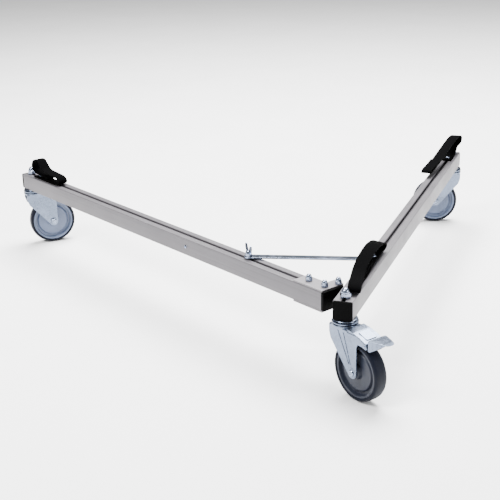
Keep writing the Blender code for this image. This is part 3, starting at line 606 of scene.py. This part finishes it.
def build_fork(prefix, place, braked):
    """The pressed fork: two sides, the bend over the wheel, the crown, axle bosses and creases."""
    inner, outer = FORK_HALF - SHEET, FORK_HALF
    corner = 0.0045
    edge, under, over, skin = 0.1405, 0.1440, 0.1470, 0.0001
    rise = 0.0009
    shape = bmesh.new()
    for side in (1, -1):
        low, high = sorted((side * inner, side * outer))
        add_prism(shape, fork_side(braked), low, high, upright)
    outside = [(-outer - skin, edge), (-outer - skin, over), (outer + skin, over),
               (outer + skin, edge)]
    inside = [(inner - skin, edge), (inner - skin, under), (-inner + skin, under),
              (-inner + skin, edge)]
    section = eased(outside, corner, 8, False) + eased(inside, corner - SHEET, 8, False)
    add_prism(shape, section, -0.0228, 0.0300, lengthwise)
    crown = [(M12, 0.1435), (0.0240, 0.1435), (0.0262, 0.1442), (HEAD_RADIUS, 0.1458),
             (HEAD_RADIUS, 0.1486), (0.0265, 0.1496), (0.0250, CROWN_TOP), (M12, CROWN_TOP)]
    add_turned(shape, crown, 72)
    for side in (1, -1):
        face = side * outer
        boss = [(AXLE_HOLE, face - side * 0.001), (0.0108, face - side * 0.001),
                (0.0104, face + side * 0.0004), (0.0090, face + side * rise),
                (AXLE_HOLE, face + side * rise)]
        add_turned(shape, boss, 48, (TRAIL, 0, WHEEL_RADIUS), "Y")
        low, high = sorted((face - side * 0.0005, face + side * rise))
        for start in (0.0010, 0.0170):
            crease = [(start, 0.1395), (start + 0.0030, 0.1395), (0.0365 + start / 4, 0.0780),
                      (0.0345 + start / 4, 0.0780)]
            add_prism(shape, eased(crease, 0.001), low, high, upright)
    finish_mesh(prefix + "_fork_sheet", shape, "zinc", place, prefix + "_fork", prefix + "_fork",
                bevel=0.0006)


def wheel_face():
    """A rim's half section, from the sleeve to the tyre: hub, flat disc, recess and lip."""
    face = [(0.0078, 0.0180), (0.0145, 0.0180), (0.0168, 0.0092), (0.0395, 0.0088),
            (0.0425, 0.0035), (0.0490, 0.0035), (0.0500, 0.0131), (0.0542, 0.0131)]
    return eased(face, 0.0011, 4, False)


def tyre_face():
    """A tyre's half section, from the rim to the middle of its tread."""
    points = [(0.0543, 0.0120), (0.0552, 0.0143), (0.0574, 0.0152), (0.0598, 0.0141),
              (0.0615, 0.0110), (0.0623, 0.0065), (0.0625, 0.0020)]
    return [tuple(point) for point in smooth_path([(x, y, 0) for x, y in points], 4)]


def both_faces(face):
    """A half section and its mirror image, as one closed outline."""
    return [(p[0], p[1]) for p in face] + [(p[0], -p[1]) for p in reversed(face)]


def build_wheel(prefix, place, rim_look):
    """A rim and its tyre."""
    body, centre = prefix + "_wheel", (TRAIL, 0, WHEEL_RADIUS)
    turned(prefix + "_rim_disc", both_faces(wheel_face()), rim_look, place, body, prefix + "_rim",
           sides=96, centre=centre, axis="Y", sharp=28.0)
    turned(prefix + "_tyre_tread", both_faces(tyre_face()), "tyre", place, body,
           prefix + "_tyre", sides=128, centre=centre, axis="Y", sharp=45.0)


def build_caster(prefix, arm, x, rim_look, braked):
    """A swivel caster under an arm: ring head, stem, fork, wheel and axle."""
    arm_place, arm_body, side = ARMS[arm], arm + "_arm", SIDES[arm]
    head = [(0.0068, 0.1504), (0.0235, 0.1504), (0.0256, 0.1508), (HEAD_RADIUS, 0.1522),
            (HEAD_RADIUS, 0.1538), (0.0256, 0.1548), (0.0238, 0.1551), (0.0228, 0.1555),
            (0.0238, 0.1560), (0.0250, 0.1563), (0.0257, 0.1573), (0.0252, 0.1586),
            (0.0238, 0.1593), (0.0190, 0.1597), (0.0068, 0.1597)]
    turned(prefix + "_swivel_rings", head, "zinc", arm_place, arm_body, prefix + "_swivel_head",
           centre=(x, side, 0), sharp=50.0)
    cap_nut(prefix + "_stem_nut", arm_place, arm_body, x, side, ARM_TOP + GAP, M12_NUT,
            prefix + "_cap_nut")
    stem = [(0, 0.132), (0.0088, 0.132), (0.0095, 0.1327), (0.0095, 0.1412), (M12, 0.1412),
            (M12, 0.214), (0, 0.214)]
    turned(prefix + "_stem", stem, "steel", arm_place, arm_body, prefix + "_stem_bolt",
           centre=(x, side, 0), hexagon=(2, 3))
    place = caster_axes(prefix)
    build_fork(prefix, place, braked)
    build_wheel(prefix, place, rim_look)
    fork_body, centre = prefix + "_fork", (TRAIL, 0, WHEEL_RADIUS)
    near, far = -FORK_HALF - BOSS_RISE, FORK_HALF + BOSS_RISE
    bolt = [(0, near - 0.0030), (0.0026, near - 0.0030), (0.0030, near - 0.0012),
            (0.0034, near - 0.0030), (0.0056, near - 0.0028), (0.0066, near - 0.0018),
            (0.0070, near - 0.0004), (0.0070, near), (AXLE, near), (AXLE, far + 0.0045),
            (0.0030, far + 0.0055), (0, far + 0.0055)]
    turned(prefix + "_axle", bolt, "steel", place, fork_body, prefix + "_axle_bolt",
           centre=centre, axis="Y", sharp=28.0)
    nut = [(AXLE_HOLE, far), (0.0065, far), (0.0065, far + 0.0006), (0.0065, far + 0.0046),
           (0.0065, far + 0.0052), (AXLE_HOLE, far + 0.0052)]
    turned(prefix + "_axle_hex_nut", nut, "steel", place, fork_body, prefix + "_axle_nut",
           centre=centre, axis="Y", hexagon=(2, 3), sides=72, sharp=24.0)
    restyle(prefix + "_axle_sleeve", "steel", 0.0)


def build_casters():
    build_caster("left", "left", LEFT_ARM_END - CASTER_INSET, "pale_rim", False)
    build_caster("front", "right", RIGHT_ARM_START + CASTER_INSET, "dark_rim", True)
    build_caster("right", "right", RIGHT_ARM_END - CASTER_INSET, "pale_rim", False)


# --------------------------------------------------------------------------------------- brake

def build_brake_cover():
    """The sheet over the front wheel, with a raised panel."""
    place, body = caster_axes("front"), "front_fork"
    width = FORK_HALF
    cover = [(0.0285, 0.1480), (0.047, 0.1458), (0.066, 0.1412), (0.0845, 0.1338),
             (0.0858, 0.1362), (0.067, 0.1435), (0.047, 0.1480), (0.0285, 0.1500)]
    shape = bmesh.new()
    add_prism(shape, eased(cover, 0.003, 4), -width, width, upright)
    finish_mesh("brake_cover_sheet", shape, "zinc", place, body, "brake_cover", bevel=0.0008)
    (low_x, low_z), (high_x, high_z) = cover[4], cover[6]
    slope = atan2(low_z - high_z, low_x - high_x)
    tilted = place @ Matrix.Translation((0.0640, 0, 0.1449)) @ Matrix.Rotation(-slope, 4, "Y")
    shape = bmesh.new()
    add_prism(shape, rounded_box(-0.0120, 0.0140, -0.0130, 0.0130, 0.003, 6), -0.0016, 0.0006, flat)
    finish_mesh("brake_cover_emboss", shape, "zinc", tilted, body, bevel=0.0005)


def build_brake_pedal():
    """The pedal with its tongue, ears and ribs, the pin it turns on, and its pad."""
    place = caster_axes("front") @ Matrix.Translation((PEDAL_X, 0, PEDAL_Z))
    body, width = "brake_pedal", FORK_HALF
    shape = bmesh.new()
    face = rounded_box(-width, width, -0.008, 0.016, 0.004, 6)
    add_prism(shape, face, 0.0100, 0.0125, lengthwise)
    tongue = [(0.0110, -width), (0.030, -0.017), (0.048, -0.010), (0.051, -0.004),
              (0.051, 0.004), (0.048, 0.010), (0.030, 0.017), (0.0110, width)]
    add_prism(shape, eased(tongue, 0.004, 5), 0.0140, 0.0162, flat)
    for side in (-1, 1):
        low, high = sorted((side * 0.0165, side * 0.0190))
        ear = rounded_box(-0.0045, 0.011, -0.0045, 0.0026, 0.003, 5)
        add_prism(shape, ear, low, high, upright)
    for rib in (-0.012, 0, 0.012):
        add_prism(shape, rounded_box(rib - 0.0012, rib + 0.0012, -0.005, 0.012, 0.001), 0.0123,
                  0.0132, lengthwise)
    finish_mesh("brake_pedal_sheet", shape, "zinc", place, body, "brake_pedal", bevel=0.0006)
    reach = width + 0.001
    pin = [(0, -reach - 0.0006), (0.0014, -reach - 0.0004), (0.0020, -reach), (0.0020, reach),
           (0.0014, reach + 0.0004), (0, reach + 0.0006)]
    turned("brake_pivot_pin", pin, "steel", place, body, "brake_pin", axis="Y", sides=32)
    restyle("brake_pad", "tyre", 0.0010, 3)


# -------------------------------------------------------------------------------------- straps

# Points along each strap: distance from the arm's start, sideways, height over the arm's top, and
# how far the tape leans over, in radians.
FRONT_STRAP = [(0.100, 0, 0.0022, 0), (0.145, 0, 0.0030, 0), (0.185, 0, 0.0083, 0),
               (0.238, 0, 0.0083, 0), (0.275, 0, 0.0086, 0), (0.303, -0.001, 0.0120, 0.1),
               (0.300, -0.001, 0.0210, 0.15), (0.268, 0, 0.0300, 0.25),
               (0.228, 0.001, 0.0340, 0.35), (0.188, 0.001, 0.0325, 0.4),
               (0.152, 0.001, 0.0270, 0.3), (0.122, 0, 0.0205, 0.2), (0.095, -0.004, 0.0185, 0.1),
               (0.066, -0.009, 0.0195, 0.1), (0.046, -0.012, 0.0175, 0.1),
               (0.037, -0.013, 0.0105, 0.05), (0.050, -0.010, 0.0055, 0),
               (0.085, -0.004, 0.0078, 0), (0.120, 0, 0.0110, 0.1), (0.155, 0, 0.0155, 0.25),
               (0.190, 0, 0.0190, 0.3)]
LEFT_STRAP = [(1.155, 0, 0.0022), (1.110, 0, 0.0022), (1.050, 0, 0.0022), (1.032, 0, 0.0050),
              (1.024, 0, 0.0130), (1.036, 0, 0.0220), (1.070, 0, 0.0245), (1.104, 0, 0.0280),
              (1.120, 0, 0.0400), (1.134, 0, 0.0500), (1.152, 0, 0.0480), (1.162, 0, 0.0350),
              (1.160, 0, 0.0220), (1.146, 0, 0.0150), (1.120, 0, 0.0130), (1.098, 0, 0.0120),
              (1.080, 0, 0.0105)]
RIGHT_STRAP = [(1.082, 0, 0.0022), (1.116, 0, 0.0022), (1.134, 0, 0.0040), (1.146, -0.002, 0.0140),
               (1.156, -0.004, 0.0255), (1.174, -0.007, 0.0280), (1.190, -0.009, 0.0330),
               (1.194, -0.009, 0.0420), (1.182, -0.008, 0.0490), (1.152, -0.004, 0.0500),
               (1.105, 0.001, 0.0430), (1.050, 0.006, 0.0340), (0.990, 0.010, 0.0260),
               (0.940, 0.015, 0.0190), (0.905, 0.019, 0.0130), (0.894, 0.0195, 0.0165),
               (0.905, 0.019, 0.0210), (0.940, 0.015, 0.0245), (0.975, 0.0115, 0.0290)]


def build_strap(name, points, start, arm):
    """Webbing swept along its path, with soft selvedges and its length and width as UVs."""
    side = SIDES[arm]
    spots = smooth_path([(*point, 0)[:4] for point in points], 8)
    path = [Vector((start + p[0], side + p[1], ARM_TOP + p[2])) for p in spots]
    half, thick = STRAP_WIDTH / 2, STRAP_THICKNESS / 2
    section = eased([(-half, -thick), (half, -thick), (half, thick), (-half, thick)], 0.0013, 4)
    shape = bmesh.new()
    layer = shape.loops.layers.uv.new("Length and width")
    rings, lengths, travelled = [], [], 0.0
    for index, point in enumerate(path):
        ahead = path[min(index + 1, len(path) - 1)] - path[max(index - 1, 0)]
        level = Vector((0, cos(spots[index][3]), sin(spots[index][3])))
        face = ahead.cross(level).normalized()
        across = face.cross(ahead).normalized()
        rings.append([shape.verts.new(point + across * u + face * v) for u, v in section])
        travelled += (point - path[index - 1]).length if index else 0.0
        lengths.append(travelled)
    for index in range(len(rings) - 1):
        for step in range(len(section)):
            after = (step + 1) % len(section)
            corners = ((index, step), (index, after), (index + 1, after), (index + 1, step))
            quad = shape.faces.new([rings[row][column] for row, column in corners])
            for loop, (row, column) in zip(quad.loops, corners):
                loop[layer].uv = (lengths[row], section[column][0])
    shape.faces.new(rings[0])
    shape.faces.new(rings[-1])
    finish_mesh(name + "_webbing", shape, "webbing", ARMS[arm], arm + "_arm", name, sharp=40.0)


def build_straps():
    build_strap("front_strap", FRONT_STRAP, RIGHT_ARM_START, "right")
    build_strap("left_strap", LEFT_STRAP, LEFT_ARM_START, "left")
    build_strap("right_strap", RIGHT_STRAP, RIGHT_ARM_START, "right")
    base = ARM_TOP + STRAP_HEIGHT + STRAP_THICKNESS / 2 + GAP
    for arm, side, x in (("left", PIVOT_SIDE, LEFT_ARM_START + LEFT_RIVET_X),
                         ("right", -PIVOT_SIDE, RIGHT_ARM_START + RIGHT_RIVET_X)):
        dome_screw(arm + "_strap_rivet", ARMS[arm], arm + "_arm", x, side, base, 0.0055, 0.0034,
                   arm + "_strap_anchor")


# --------------------------------------------------------------------------------------- stage

def build_floor():
    shape = bmesh.new()
    around = ((-FLOOR_HALF, -FLOOR_HALF), (FLOOR_HALF, -FLOOR_HALF), (FLOOR_HALF, FLOOR_HALF),
              (-FLOOR_HALF, FLOOR_HALF))
    shape.faces.new([shape.verts.new((x, y, FLOOR_Z)) for x, y in around])
    mesh = bpy.data.meshes.new("floor")
    shape.to_mesh(mesh)
    shape.free()
    nodes = Nodes("floor_look")
    cloud = nodes.noise(nodes.place(), 3.0, 4.0)
    tone = nodes.ramp(cloud, [(0.3, (0.90, 0.90, 0.90)), (0.7, (0.93, 0.93, 0.93))])
    mesh.materials.append(nodes.finish(tone, nodes.span(cloud, 0.75, 0.85),
                                       nodes.bump(cloud, 0.0001, 0.1), 0.0))
    floor = bpy.data.objects.new("floor", mesh)
    bpy.context.scene.collection.objects.link(floor)


def build_lights():
    """A soft white world and three soft lights that point at the arms."""
    world = bpy.data.worlds.new("Soft white studio")
    world.use_nodes = True
    world.node_tree.nodes["Background"].inputs["Color"].default_value = (1, 1, 1, 1)
    world.node_tree.nodes["Background"].inputs["Strength"].default_value = WORLD_STRENGTH
    bpy.context.scene.world = world
    for name, spot, size, power in LIGHTS:
        lamp = bpy.data.lights.new(name, "AREA")
        lamp.size = size
        lamp.energy = power
        light = bpy.data.objects.new(name, lamp)
        light.location = spot
        towards = Vector(LIGHT_TARGET) - Vector(spot)
        light.rotation_euler = towards.to_track_quat("-Z", "Y").to_euler()
        bpy.context.scene.collection.objects.link(light)


def build_camera():
    data = bpy.data.cameras.new("camera")
    data.lens = CAMERA_LENS
    data.sensor_width = CAMERA_SENSOR
    data.clip_start, data.clip_end = 0.05, 200.0
    camera = bpy.data.objects.new("camera", data)
    camera.matrix_world = (turned_about_z(CAMERA_PLACE, CAMERA_HEADING - pi / 2)
                           @ Matrix.Rotation(pi / 2 - CAMERA_TILT, 4, "X")
                           @ Matrix.Rotation(CAMERA_ROLL, 4, "Z"))
    bpy.context.scene.collection.objects.link(camera)
    bpy.context.scene.camera = camera


build_arms()
build_hinge()
build_brace()
build_wing_screw()
build_casters()
build_brake_cover()
build_brake_pedal()
build_straps()
build_floor()
build_lights()
build_camera()

bpy.context.view_layer.update()
